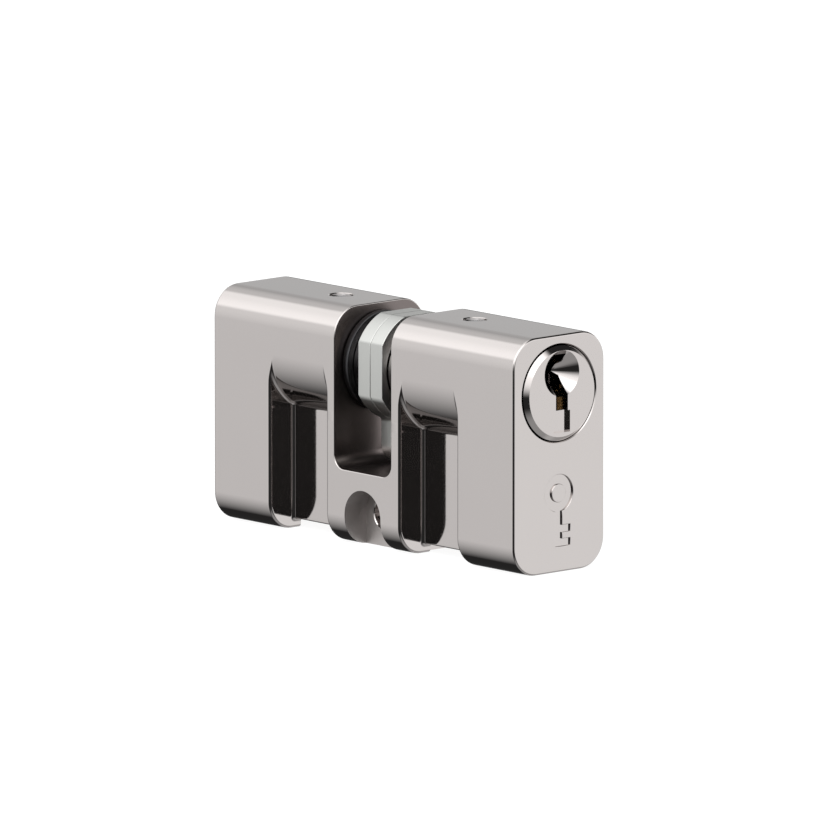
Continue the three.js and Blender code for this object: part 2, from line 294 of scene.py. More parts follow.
def metal(name, colour, roughness, patch_mm, patch_share, grain_mm, grain_depth_mm, bands=None):
    """A metal with slow patches of tone and a fine grain in its roughness and its surface.

    bands gives the pitch in millimetres of turning marks around Z, drawn in the surface too.
    """
    material = bpy.data.materials.new(name)
    material.use_nodes = True
    tree = material.node_tree
    tree.nodes.clear()
    place = add(tree, "ShaderNodeTexCoord").outputs["Object"]
    patches = add(tree, "ShaderNodeTexNoise", {"Vector": place, "Scale": per_metre(patch_mm), "Detail": 3.0})
    tone = add(
        tree, "ShaderNodeMix",
        {MIX_FACTOR: patches.outputs["Fac"], MIX_A: shaded(colour, patch_share), MIX_B: tuple(colour)},
        data_type="RGBA",
    )
    grain = add(tree, "ShaderNodeTexNoise", {"Vector": place, "Scale": per_metre(grain_mm), "Detail": 2.0})
    rough = add(
        tree, "ShaderNodeMapRange",
        {"Value": grain.outputs["Fac"], "To Min": roughness[0], "To Max": roughness[1]},
    )
    height = grain.outputs["Fac"]
    if bands:
        rings = add(
            tree, "ShaderNodeTexWave", {"Vector": place, "Scale": per_metre(bands) * WAVES_PER_SCALE,
             "Distortion": 0.4},
            bands_direction="Z",
        )
        both = add(tree, "ShaderNodeMath", {0: height, 1: rings.outputs["Fac"]}, operation="ADD")
        height = both.outputs["Value"]
    bump = add(
        tree, "ShaderNodeBump", {"Strength": 1.0, "Distance": grain_depth_mm * MM, "Height": height},
    )
    shader = add(
        tree, "ShaderNodeBsdfPrincipled",
        {
            "Base Color": tone.outputs[MIX_RESULT],
            "Metallic": 1.0,
            "Roughness": rough.outputs["Result"],
            "Normal": bump.outputs["Normal"],
        },
    )
    add(tree, "ShaderNodeOutputMaterial", {"Surface": shader.outputs["BSDF"]})
    return material


def nickel_plate(finish):
    # Nickel plated on polished brass: near-mirror reflections, a little soft from the plate's own fine grain
    return metal(
        "nickel_plate_polished", finish.nickel, roughness=(0.055, 0.085), patch_mm=7, patch_share=0.98,
        grain_mm=0.35, grain_depth_mm=0.00005,
    )


def slot_painted_shade_nickel(finish):
    # Nickel in the slot: its darker, browner colour is painted shade of the slot, and it is dull, taken to be
    # thin plate over a cut surface
    return metal(
        "nickel_plate_with_painted_slot_shade", finish.slot_painted_shade_nickel, roughness=(0.26, 0.36), patch_mm=3, patch_share=0.9,
        grain_mm=0.3, grain_depth_mm=0.0006,
    )


def milled_nickel(finish):
    # Nickel over a milled surface, as the screw recesses are taken to be: satin, from the cutter's fine marks
    return metal(
        "nickel_plate_on_milled_recess", finish.nickel, roughness=(0.46, 0.56), patch_mm=3, patch_share=0.95,
        grain_mm=0.25, grain_depth_mm=0.0012,
    )


def zinc_plate(finish):
    # Zinc plated on sintered steel: pale, with a dull sheen and the pressed powder's fine pits
    return metal(
        "zinc_plate_on_sintered_steel", finish.zinc, roughness=(0.30, 0.40), patch_mm=3, patch_share=0.96,
        grain_mm=0.22, grain_depth_mm=0.0008,
    )


def black_steel(finish):
    # Spring steel with a black oxide coat: nearly black, with an oily gloss on its edges
    return metal(
        "black_oxide_spring_steel", finish.black_oxide, roughness=(0.28, 0.42), patch_mm=2, patch_share=0.7,
        grain_mm=0.3, grain_depth_mm=0.001,
    )


def ground_steel(finish):
    # Hardened steel ground between centres: cool grey with close fine rings
    return metal(
        "ground_hardened_steel", finish.steel, roughness=(0.18, 0.30), patch_mm=2, patch_share=0.93,
        grain_mm=0.2, grain_depth_mm=0.0004, bands=0.12,
    )


def turned_brass(finish):
    # Free-cutting brass straight from the lathe: yellow, with the tool's feed marks around it
    return metal(
        "turned_brass", finish.brass, roughness=(0.2, 0.32), patch_mm=2, patch_share=0.9,
        grain_mm=0.25, grain_depth_mm=0.0006, bands=0.18,
    )


def drawn_bronze(finish):
    # Phosphor bronze wire pulled through a die: copper-coloured and smooth, a little dulled
    return metal(
        "drawn_phosphor_bronze_wire", finish.bronze, roughness=(0.22, 0.36), patch_mm=1, patch_share=0.88,
        grain_mm=0.15, grain_depth_mm=0.0003,
    )


FINISHES = {
    "satin_nickel": nickel_plate,
    "cam_steel": zinc_plate,
    "black_spring_steel": black_steel,
    "hard_steel": ground_steel,
    "brass": turned_brass,
    "spring_bronze": drawn_bronze,
}
materials = {}


def finish_of(slot, finish):
    if slot not in materials:
        materials[slot] = FINISHES[slot](finish)
    return materials[slot]


# ---------------------------------------------------------------- mesh helpers

def arc(centre, radius, start, end, steps):
    """Points on an arc, from one angle to another in degrees, with both ends."""
    angles = [math.radians(start + (end - start) * i / steps) for i in range(steps + 1)]
    return [Vector((centre[0] + radius * math.cos(a), centre[1] + radius * math.sin(a))) for a in angles]


def quarter(steps=FILLET_STEPS):
    """Cosine and sine over a quarter turn."""
    return [(math.cos(math.pi / 2 * i / steps), math.sin(math.pi / 2 * i / steps)) for i in range(steps + 1)]


def settle(bm):
    bmesh.ops.remove_doubles(bm, verts=bm.verts, dist=MERGE)
    bmesh.ops.recalc_face_normals(bm, faces=bm.faces)
    return bm


def turned(profile, sides):
    """Turns a profile of (radius, height) about Z. It starts and ends on the axis, or closes on itself."""
    bm = bmesh.new()
    rings = []
    for radius, height in profile:
        steps = [2 * math.pi * i / sides for i in range(sides)]
        rings.append([bm.verts.new((radius * math.cos(a), radius * math.sin(a), height)) for a in steps])
    for low, high in zip(rings, rings[1:]):
        for i in range(sides):
            j = (i + 1) % sides
            bm.faces.new((low[i], low[j], high[j], high[i]))
    return settle(bm)


def placed(bm, matrix):
    bm.transform(matrix)
    return bm


def along_x(bm, z=AXIS_Z):
    """Lays a piece turned about Z on its side, so that its heights run along X, about an axis at height z."""
    return placed(bm, Matrix.Translation((0, 0, z)) @ Matrix.Rotation(math.pi / 2, 4, "Y"))


def at(bm, x, y=0, z=0):
    return placed(bm, Matrix.Translation((x, y, z)))


def extruded(points, axes, low, high):
    """Extrudes an outline. axes has the outline's two axes and then the one it is extruded along."""
    bm = bmesh.new()
    order = ["XYZ".index(axis) for axis in axes]
    caps = []
    for level in (low, high):
        ring = []
        for point in points:
            place = [0, 0, 0]
            for axis, value in zip(order, (*point, level)):
                place[axis] = value
            ring.append(bm.verts.new(place))
        caps.append(ring)
    count = len(points)
    for i in range(count):
        j = (i + 1) % count
        bm.faces.new((caps[0][i], caps[0][j], caps[1][j], caps[1][i]))
    bm.faces.new(caps[0])
    bm.faces.new(caps[1])
    bmesh.ops.recalc_face_normals(bm, faces=bm.faces)
    return bm


def block(low, high):
    """A box between two corners, as a cutter."""
    outline = [(low[0], low[1]), (high[0], low[1]), (high[0], high[1]), (low[0], high[1])]
    return extruded(outline, "XYZ", low[2], high[2])


def rod(radius, low, high, sides):
    return turned([(0, low), (radius, low), (radius, high), (0, high)], sides)


def half_turned(bm):
    """A copy of a cutter, turned half a turn about Z."""
    return placed(bm.copy(), Matrix.Rotation(math.pi, 4, "Z"))


def both_ends(*cutters):
    return [*cutters, *(half_turned(cutter) for cutter in cutters)]


def as_object(name, bm):
    mesh = bpy.data.meshes.new(name)
    bm.to_mesh(mesh)
    bm.free()
    obj = bpy.data.objects.new(name, mesh)
    bpy.context.scene.collection.objects.link(obj)
    return obj


def cut(bm, cutters):
    """Takes the cutters away from a body and gives what is left.

    They are taken one by one, with the points merged after each, so that the body stays closed.
    """
    for cutter in cutters:
        body = as_object("blank", bm)
        tool = as_object("cutter", cutter)
        modifier = body.modifiers.new("cut", "BOOLEAN")
        modifier.operation = "DIFFERENCE"
        modifier.solver = "EXACT"
        modifier.object = tool
        bm = bmesh.new()
        bm.from_object(body, bpy.context.evaluated_depsgraph_get())
        bpy.data.objects.remove(body)
        bpy.data.objects.remove(tool)
        bmesh.ops.remove_doubles(bm, verts=bm.verts, dist=MERGE)
        bmesh.ops.dissolve_degenerate(bm, edges=bm.edges, dist=MERGE)
    return bm


def rounded(bm, chosen, width, segments=3):
    """Rounds the outer edges whose two ends both pass the test chosen."""
    edges = [
        edge for edge in bm.edges
        if len(edge.link_faces) == 2
        and edge.calc_face_angle_signed() > CREASE
        and all(chosen(vert.co) for vert in edge.verts)
    ]
    bmesh.ops.bevel(
        bm, geom=edges, offset=width, offset_type="OFFSET", segments=segments, profile=0.5,
        affect="EDGES", clamp_overlap=True,
    )
    return bm


def rounded_plate(points, axes, low, high, width, segments=3):
    """An extruded outline with both rims rounded."""
    bm = extruded(points, axes, low, high)
    axis = "XYZ".index(axes[2])
    for level in (low, high):
        rounded(bm, lambda co, at_level=level: abs(co[axis] - at_level) < NEAR, width, segments)
    return bm


def dress(bm, node, finish, turn=0.0):
    """Makes the piece that stands for a CAD node: in metres, smooth, finished, riding on the node's body."""
    bm.transform(Matrix.Scale(MM, 4) @ Matrix.Rotation(turn, 4, "Z"))
    obj = as_object(f"{node}_finished", bm)
    obj.data.polygons.foreach_set("use_smooth", [True] * len(obj.data.polygons))
    obj.data.set_sharp_from_angle(angle=CREASE)
    flats = obj.modifiers.new("flat faces stay flat", "WEIGHTED_NORMAL")
    flats.keep_sharp = True
    obj.data.materials.append(finish_of(SLOT_OF[node], finish))
    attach(obj, BODY_OF[node])
    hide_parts(node)
    return obj


# ---------------------------------------------------------------- housing

def half_perimeter():
    """From the top by +Y to the underside: the outer point, the point inside a pocket and the way out."""
    side = Vector((1, 0))
    places = []
    top_centre = Vector((HALF_WIDTH - CORNER_RADIUS, HEIGHT - CORNER_RADIUS))
    for point in arc(top_centre, CORNER_RADIUS, 90, 0, ARC_STEPS):
        places.append((point, point, (point - top_centre) / CORNER_RADIUS))

    # Down the barrel to the little fillet where the flange leaves it
    fillet_y = FLANGE_HALF + FLANGE_FILLET
    reach = BARREL_RADIUS + FLANGE_FILLET
    fillet_z = AXIS_Z - math.sqrt(reach ** 2 - fillet_y ** 2)
    leave = math.degrees(math.acos(fillet_y / reach))
    barrel = arc((0, AXIS_Z), BARREL_RADIUS, 0, -leave, ARC_STEPS)
    fillet = arc((fillet_y, fillet_z), FLANGE_FILLET, 180 - leave, 180, FILLET_STEPS)
    for point in barrel + fillet[1:]:
        places.append((Vector((HALF_WIDTH, point.y)), point, side))

    # Down the flange, while the outside goes round its bottom corner
    low_centre = Vector((HALF_WIDTH - CORNER_RADIUS, CORNER_RADIUS))
    edge_z = FLANGE_BOTTOM + FLANGE_EDGE
    straight = ARC_STEPS - FILLET_STEPS
    flange = [
        Vector((FLANGE_HALF, CORNER_RADIUS + (edge_z - CORNER_RADIUS) * i / straight))
        for i in range(straight + 1)
    ]
    edge = arc((FLANGE_HALF - FLANGE_EDGE, edge_z), FLANGE_EDGE, 0, -90, FILLET_STEPS)
    corner = arc(low_centre, CORNER_RADIUS, 0, -90, ARC_STEPS)
    for outer, inner in zip(corner, flange + edge[1:]):
        places.append((outer, inner, (outer - low_centre) / CORNER_RADIUS))
    return places


def pocket_wall(mouth, root, depth):
    """(x, depth) from the side surface, over the mouth's rounding, down the far wall and round its root.

    Where the pocket is shallower than both roundings together, they meet in an S with no wall between them.
    """
    far = POCKET[1]
    turn = math.acos(max(0.0, 1 - depth / (mouth + root)))
    over = far - root + (mouth + root) * math.sin(turn)
    angles = [turn * i / FILLET_STEPS for i in range(FILLET_STEPS + 1)]
    mouth_arc = [(over - mouth * math.sin(a), mouth * (1 - math.cos(a))) for a in angles]
    root_arc = [
        (far - root * (1 - math.sin(a)), depth - root * (1 - math.cos(a))) for a in reversed(angles)
    ]
    return mouth_arc + root_arc


def skin_path(outer, inner, outward, shape):
    """Points on the housing's skin at one place of its section, from the front key face to the rear one."""
    depth = (inner - outer).length
    inward = (inner - outer) / depth if depth else Vector((0, 0))
    wall = pocket_wall(shape.pocket_mouth / MM, shape.pocket_root / MM, depth)
    near_wall = [(POCKET[0] + POCKET[1] - x, down) for x, down in reversed(wall)]
    edge = shape.face_edge / MM
    front = [(HALF_LENGTH - edge * (1 - c), outer - outward * edge * (1 - s)) for c, s in quarter()]
    front += [(x, outer + inward * down) for x, down in wall + near_wall]
    return front + [(-x, point) for x, point in reversed(front)]


def housing_skin(shape):
    half = half_perimeter()
    flip = Matrix.Scale(-1, 2, Vector((1, 0)))
    perimeter = half + [tuple(flip @ item for item in place) for place in reversed(half)]
    bm = bmesh.new()
    paths = [
        [bm.verts.new((x, point.x, point.y)) for x, point in skin_path(*place, shape)]
        for place in perimeter
    ]
    for path, following in zip(paths, paths[1:] + paths[:1]):
        for i in range(len(path) - 1):
            bm.faces.new((path[i], path[i + 1], following[i + 1], following[i]))
    for end in (0, -1):
        bm.faces.new([path[end] for path in paths])
    return settle(bm)


def slot_outline():
    x = SLOT_HALF - SLOT_FILLET
    z = SLOT_BOTTOM + SLOT_FILLET
    top = HEIGHT + PAST
    return [
        (-SLOT_HALF, top),
        *arc((-x, z), SLOT_FILLET, 180, 270, ARC_STEPS),
        *arc((x, z), SLOT_FILLET, 270, 360, ARC_STEPS),
        (SLOT_HALF, top),
    ]


def on_slot(co):
    """Whether a point lies on the slot's walls, floor or fillets."""
    centre_x = SLOT_HALF - SLOT_FILLET
    centre_z = SLOT_BOTTOM + SLOT_FILLET
    across, up = abs(co.x), co.z
    if up >= centre_z - NEAR:
        return abs(across - SLOT_HALF) < NEAR
    if across <= centre_x + NEAR:
        return abs(up - SLOT_BOTTOM) < NEAR
    return abs(math.hypot(across - centre_x, up - centre_z) - SLOT_FILLET) < NEAR


def recess_outline():
    top = arc((0, SCREW_Z), RECESS_RADIUS, 0, 180, HOLE_SIDES // 2)
    return [(-RECESS_RADIUS, -PAST), (RECESS_RADIUS, -PAST), *top]


def on_recess(co):
    """Whether a point lies on a screw recess's walls."""
    if abs(co.y) < RECESS_FLOOR + FIT:
        return False
    if co.z <= SCREW_Z:
        return abs(abs(co.x) - RECESS_RADIUS) < NEAR
    return abs(math.hypot(co.x, co.z - SCREW_Z) - RECESS_RADIUS) < NEAR


def in_recess(co):
    """Whether a point lies on a screw recess's walls or floor."""
    on_floor = abs(abs(co.y) - RECESS_FLOOR) < NEAR and abs(co.x) < RECESS_RADIUS + NEAR
    return on_recess(co) or (on_floor and co.z < SCREW_Z + RECESS_RADIUS + NEAR)


def mark_cutter(depth):
    """A plain key, engraved: a ring for its bow, and a shaft with two teeth."""
    meet = math.degrees(math.asin(MARK_SHAFT_HALF / MARK_BOW_RADIUS))
    teeth = [
        point
        for low, high in MARK_TEETH
        for point in (
            (MARK_SHAFT_HALF, low), (MARK_TOOTH_REACH, low), (MARK_TOOTH_REACH, high), (MARK_SHAFT_HALF, high)
        )
    ]
    outline = [
        (-MARK_SHAFT_HALF, MARK_TIP_Z),
        *teeth,
        *arc((0, MARK_BOW_Z), MARK_BOW_RADIUS, meet - 90, 270 - meet, HOLE_SIDES),
    ]
    face = HALF_LENGTH + PAST
    floor = HALF_LENGTH - depth
    eye = along_x(rod(MARK_EYE_RADIUS, floor - PAST, face + PAST, HOLE_SIDES), MARK_BOW_Z)
    return cut(extruded(outline, "YZX", floor, face), [eye])


def on_mark(co):
    """Whether a point lies on the rim of the engraved key."""
    return (
        abs(co.x - HALF_LENGTH) < NEAR
        and abs(co.y) < MARK_BOW_RADIUS + NEAR
        and MARK_TIP_Z - NEAR < co.z < MARK_BOW_Z + MARK_BOW_RADIUS + NEAR
    )


def bore_cutter():
    face = HALF_LENGTH + PAST
    wide = BORE_RADIUS + BORE_CHAMFER + PAST
    straight = HALF_LENGTH - BORE_CHAMFER
    return along_x(turned(
        [
            (0, -face),
            (wide, -face),
            (BORE_RADIUS, -straight),
            (BORE_RADIUS, straight),
            (wide, face),
            (0, face),
        ],
        ROUND_SIDES,
    ))


def housing_body(shape):
    side = HALF_WIDTH + PAST
    edge = shape.slot_edge / MM
    bm = cut(housing_skin(shape), [
        extruded(slot_outline(), "XZY", -side, side),
        extruded(recess_outline(), "XZY", RECESS_FLOOR, side),
        extruded(recess_outline(), "XZY", -side, -RECESS_FLOOR),
        mark_cutter(shape.mark_depth / MM),
    ])
    rounded(bm, on_mark, MARK_EDGE)
    rounded(bm, on_slot, edge, EDGE_STEPS)
    rounded(bm, on_recess, edge, EDGE_STEPS)
    hole_wide = SCREW_HOLE_RADIUS + SCREW_CHAMFER
    hole_start = RECESS_FLOOR - SCREW_CHAMFER
    screw_hole = turned([
        (0, -side),
        (hole_wide, -side),
        (hole_wide, -RECESS_FLOOR),
        (SCREW_HOLE_RADIUS, -hole_start),
        (SCREW_HOLE_RADIUS, hole_start),
        (hole_wide, RECESS_FLOOR),
        (hole_wide, side),
        (0, side),
    ], HOLE_SIDES)
    top_hole = turned([
        (0, AXIS_Z),
        (TOP_HOLE_RADIUS, AXIS_Z),
        (TOP_HOLE_RADIUS, HEIGHT - TOP_HOLE_CHAMFER),
        (TOP_HOLE_RADIUS + TOP_HOLE_CHAMFER + PAST, HEIGHT + PAST),
        (0, HEIGHT + PAST),
    ], HOLE_SIDES)
    channel = block((CHANNEL[0], -CHANNEL_HALF, -PAST), (CHANNEL[1], CHANNEL_HALF, FLANGE_BOTTOM))
    chambers = [at(rod(CHAMBER_RADIUS, 0, AXIS_Z, PIN_SIDES), PIN_X[i]) for i in CHAMBERS]
    return cut(bm, [
        bore_cutter(),
        placed(screw_hole, Matrix.Translation((0, 0, SCREW_Z)) @ Matrix.Rotation(math.pi / 2, 4, "X")),
        *both_ends(at(top_hole, TOP_HOLE_X), channel, *chambers),
    ])


# ---------------------------------------------------------------- plugs and circlips

def plug_body():
    small = FIT
    profile = [
        (0, PLUG_END),
        (HUB_RADIUS - small, PLUG_END),
        (HUB_RADIUS, PLUG_END + small),
        (HUB_RADIUS, GROOVE_START),
        (GROOVE_RADIUS, GROOVE_START),
        (GROOVE_RADIUS, SHOULDER),
        (PLUG_RADIUS - small, SHOULDER),
        (PLUG_RADIUS, SHOULDER + small),
        (PLUG_RADIUS, PLUG_FACE - PLUG_BEVEL),
        (PLUG_RADIUS - PLUG_BEVEL, PLUG_FACE),
        (0, PLUG_FACE),
    ]
    face = PLUG_FACE + PAST
    wide = COUNTERSINK_RADIUS + PAST
    low, high = KEYWAY
    keyway = [
        (-KEYWAY_HALF, AXIS_Z + low),
        (KEYWAY_HALF, AXIS_Z + low),
        *((y, AXIS_Z + rise) for y, rise in KEYWAY_RIB),
        (KEYWAY_HALF, AXIS_Z + high),
        (-KEYWAY_HALF, AXIS_Z + high),
    ]
    slot_half = BLADE_HALF + FIT
    slot_reach = BLADE_REACH + FIT
    slot_end = CLUTCH[1] + FIT
    chamber_low = AXIS_Z - PLUG_RADIUS - PAST
    chamber_top = AXIS_Z + PLUG_CHAMBER_TOP
    return cut(along_x(turned(profile, ROUND_SIDES)), [
        extruded(keyway, "YZX", 0, face),
        along_x(turned([(0, PLUG_FACE - COUNTERSINK_RADIUS), (wide, face), (0, face)], ROUND_SIDES),
                AXIS_Z + COUNTERSINK_RISE),
        block(
            (PLUG_FACE - NOTCH_DEPTH, -NOTCH_HALF, AXIS_Z + NOTCH_LOW),
            (face, NOTCH_HALF, AXIS_Z + low + NEAR),
        ),
        block((0, -slot_half, AXIS_Z - slot_reach), (slot_end, slot_half, AXIS_Z + slot_reach)),
        along_x(rod(CORE_RADIUS + FIT, 0, slot_end, HOLE_SIDES)),
        *(at(rod(CHAMBER_RADIUS, chamber_low, chamber_top, PIN_SIDES), PIN_X[i]) for i in CHAMBERS),
    ])


def circlip_body():
    start = CLIP_GAP / 2 - 90
    end = 270 - CLIP_GAP / 2
    centre = (0, AXIS_Z)
    ring = arc(centre, CLIP_OUTER, start, end, ROUND_SIDES) + arc(centre, CLIP_INNER, end, start, ROUND_SIDES)
    return rounded_plate(ring, "YZX", CLIP_LOW.x, CLIP_HIGH.x, FIT, 2)


# ---------------------------------------------------------------- cam and clutch

def cam_outline():
    """Right half from the tip of the lever upwards, then the left half back down, about the plug axis."""
    top = math.degrees(math.asin(CAM_TOP / CAM_RADIUS))
    flat = math.degrees(math.acos(CAM_FLAT / CAM_RADIUS))
    root_y = LEVER_HALF + LEVER_ROOT
    root_angle = math.degrees(math.acos(root_y / (CAM_RADIUS + LEVER_ROOT)))
    root_z = -math.sqrt((CAM_RADIUS + LEVER_ROOT) ** 2 - root_y ** 2)
    right = [
        *arc((0, LEVER_HALF - LEVER_REACH), LEVER_HALF, -90, 0, ARC_STEPS),
        *arc((root_y, root_z), LEVER_ROOT, 180, 180 - root_angle, FILLET_STEPS),
        *arc((0, 0), CAM_RADIUS, -root_angle, -flat, FILLET_STEPS)[1:],
        *arc((0, 0), CAM_RADIUS, flat, top, ARC_STEPS),
    ]
    left = [Vector((-point.x, point.y)) for point in reversed(right[1:])]
    return [(point.x, point.y + AXIS_Z) for point in right + left]


def cam_plate(shape):
    plate = rounded_plate(cam_outline(), "YZX", CAM_SEAM, CAM_HALF, shape.cam_edge / MM)
    slot_half = BLADE_HALF + FIT
    slot_reach = BLADE_REACH + FIT
    through = CAM_HALF + PAST
    return cut(plate, [
        along_x(rod(COUNTERBORE_RADIUS, CAM_HALF - COUNTERBORE_DEPTH, through, ROUND_SIDES)),
        along_x(rod(CORE_RADIUS + FIT, -PAST, through, HOLE_SIDES)),
        block((-PAST, -slot_half, AXIS_Z - slot_reach), (through, slot_half, AXIS_Z + slot_reach)),
    ])


def clutch_body():
    meet = math.degrees(math.asin(BLADE_HALF / CORE_RADIUS))
    centre = (0, AXIS_Z)
    outline = [
        (BLADE_HALF, AXIS_Z - BLADE_REACH),
        *arc(centre, CORE_RADIUS, meet - 90, 90 - meet, HOLE_SIDES // 2),
        (BLADE_HALF, AXIS_Z + BLADE_REACH),
        (-BLADE_HALF, AXIS_Z + BLADE_REACH),
        *arc(centre, CORE_RADIUS, 90 + meet, 270 - meet, HOLE_SIDES // 2),
        (-BLADE_HALF, AXIS_Z - BLADE_REACH),
    ]
    return rounded_plate(outline, "YZX", *CLUTCH, FIT)


# ---------------------------------------------------------------- pins, springs and small plugs

def soft_edge(radius, height, edge, up):
    """A rounded edge of a turned piece, from its side to its end if up is 1, or the other way if it is -1."""
    points = [(radius - edge * (1 - c), height - up * edge * (1 - s)) for c, s in quarter(EDGE_STEPS)]
    return points if up > 0 else list(reversed(points))


def key_pin_body(tip):
    foot = SHEAR_LINE + SHEAR_GAP
    cone = tip - TIP_LENGTH
    nose = [(TIP_RADIUS * c, tip - TIP_RADIUS * (1 - s) / 2) for c, s in quarter(EDGE_STEPS)]
    edge = soft_edge(PIN_RADIUS, foot, PIN_EDGE, -1)
    return turned([(0, foot), *edge, (PIN_RADIUS, cone), *nose], PIN_SIDES)


def driver_pin_body():
    foot = SHEAR_LINE - DRIVER_LENGTH
    return turned([
        (0, foot),
        *soft_edge(PIN_RADIUS, foot, PIN_EDGE, -1),
        *soft_edge(PIN_RADIUS, SHEAR_LINE, PIN_EDGE, 1),
        (0, SHEAR_LINE),
    ], PIN_SIDES)


def chamber_plug_body():
    """A brass slug pressed into a chamber's mouth, dished by the staking punch on its outer end."""
    top = FLANGE_BOTTOM + CAP_LENGTH
    dish = CAP_RADIUS / 2
    return turned([
        (0, FLANGE_BOTTOM + 2 * FIT),
        (dish, FLANGE_BOTTOM + FIT),
        (dish + FIT, FLANGE_BOTTOM),
        *soft_edge(CAP_RADIUS, FLANGE_BOTTOM, FIT, -1),
        *soft_edge(CAP_RADIUS, top, FIT, 1),
        (0, top),
    ], PIN_SIDES)


def top_pin_body():
    """A hard pin driven in from above, with a shallow dome."""
    top = HEIGHT - TOP_PIN_RECESS
    dome = [(TOP_PIN_RADIUS * c, top - PIN_EDGE * (1 - s)) for c, s in quarter(2 * EDGE_STEPS)]
    return turned([(0, top - TOP_PIN_LENGTH), (TOP_PIN_RADIUS, top - TOP_PIN_LENGTH), *dome], HOLE_SIDES)


def spring_body(wire):
    """A wound spring with a dead turn at each end, as one closed tube."""
    coil = SPRING_RADIUS - wire / 2
    low = SPRING_FOOT + wire / 2
    high = SPRING_HEAD - wire / 2
    live = SPRING_TURNS - 2 * SPRING_DEAD_TURNS
    rise = high - low - 2 * SPRING_DEAD_TURNS * wire
    steps_a_turn = 20
    sides = 8
    bm = bmesh.new()
    rings = []
    for i in range(SPRING_TURNS * steps_a_turn + 1):
        turn = i / steps_a_turn
        dead = min(turn, SPRING_DEAD_TURNS) + max(0, turn - SPRING_TURNS + SPRING_DEAD_TURNS)
        height = low + dead * wire + (turn - dead) * rise / live
        angle = 2 * math.pi * turn
        outward = Vector((math.cos(angle), math.sin(angle), 0))
        middle = outward * coil + Vector((0, 0, height))
        around = [2 * math.pi * k / sides for k in range(sides)]
        spokes = [outward * math.cos(a) + Vector((0, 0, math.sin(a))) for a in around]
        rings.append([bm.verts.new(middle + spoke * wire / 2) for spoke in spokes])
    for ring, following in zip(rings, rings[1:]):
        for k in range(sides):
            j = (k + 1) % sides
            bm.faces.new((ring[k], following[k], following[j], ring[j]))
    bm.faces.new(rings[0])
    bm.faces.new(rings[-1])
    bmesh.ops.recalc_face_normals(bm, faces=bm.faces)
    return bm


def squash_with_driver(spring):
    """Gives the spring a mesh of its own."""
    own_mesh(spring)


# ---------------------------------------------------------------- operators

class AddHousing(bpy.types.Operator):
    """Adds the nickel-plated housing with its bore, cam slot, pockets and screw recesses"""

    bl_idname = "lock.add_housing"
    bl_label = "Add housing"

    def execute(self, context):
        finish = context.scene.lock_finish
        bm = housing_body(context.scene.lock_shape)
        # Slot faces take the darker slot nickel, which paints the slot's shade; recess faces take the milled
        # nickel
        for face in bm.faces:
            for number, chosen in enumerate((on_slot, in_recess), start=1):
                if all(chosen(vert.co) for vert in face.verts):
                    face.material_index = number
        housing = dress(bm, "housing", finish)
        housing.data.materials.append(slot_painted_shade_nickel(finish))
        housing.data.materials.append(milled_nickel(finish))
        return {"FINISHED"}


class AddPlugs(bpy.types.Operator):
    """Adds the two plugs with their keyways, and the circlips that hold them"""

    bl_idname = "lock.add_plugs"
    bl_label = "Add plugs"

    def execute(self, context):
        for end, turn in TURNS.items():
            dress(plug_body(), f"plug_{end}", context.scene.lock_finish, turn)
            dress(circlip_body(), f"circlip_{end}", context.scene.lock_finish, turn)
        return {"FINISHED"}


class AddCam(bpy.types.Operator):
    """Adds the two plates of the cam, and the clutch between the plugs"""

    bl_idname = "lock.add_cam"
    bl_label = "Add cam"

    def execute(self, context):
        for end, turn in TURNS.items():
            dress(cam_plate(context.scene.lock_shape), f"cam_half_{end}", context.scene.lock_finish, turn)
        dress(clutch_body(), "clutch", context.scene.lock_finish)
        return {"FINISHED"}


class AddPins(bpy.types.Operator):
    """Adds the key pins, driver pins, springs and chamber plugs of both ends"""

    bl_idname = "lock.add_pins"
    bl_label = "Add pins"

    def execute(self, context):
        finish = context.scene.lock_finish
        for end, turn in TURNS.items():
            for number in CHAMBERS:
                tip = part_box(f"key_pin_{end}_{number}")[1].z / MM
                x = PIN_X[number]
                dress(at(key_pin_body(tip), x), f"key_pin_{end}_{number}", finish, turn)
                dress(at(driver_pin_body(), x), f"driver_pin_{end}_{number}", finish, turn)
                dress(at(chamber_plug_body(), x), f"chamber_plug_{end}_{number}", finish, turn)
                wound = at(spring_body(context.scene.lock_shape.wire / MM), x)
                spring = dress(wound, f"spring_{end}_{number}", finish, turn)
                squash_with_driver(spring)
        return {"FINISHED"}


class AddTopPins(bpy.types.Operator):
    """Adds the hard pins in the two holes of the housing's top"""

    bl_idname = "lock.add_top_pins"
    bl_label = "Add top pins"

    def execute(self, context):
        for end, turn in TURNS.items():
            dress(at(top_pin_body(), TOP_HOLE_X), f"top_pin_{end}", context.scene.lock_finish, turn)
        return {"FINISHED"}


# ---------------------------------------------------------------- stage

VIEW_AZIMUTH = math.radians(48.15)
VIEW_ELEVATION = math.radians(9.79)
VIEW_DISTANCE = 2.912
VIEW_LENS = 904.73
VIEW_RIGHT = 1.67 * MM
VIEW_UP = 0.67 * MM
VIEW_FAR = 10
FLOOR_RADIUS = 2.5
# Share of the floor's colour that shadows can darken, and the even light that makes up the rest
FLOOR_MATT = 0.17
FLOOR_GLOW = 0.93

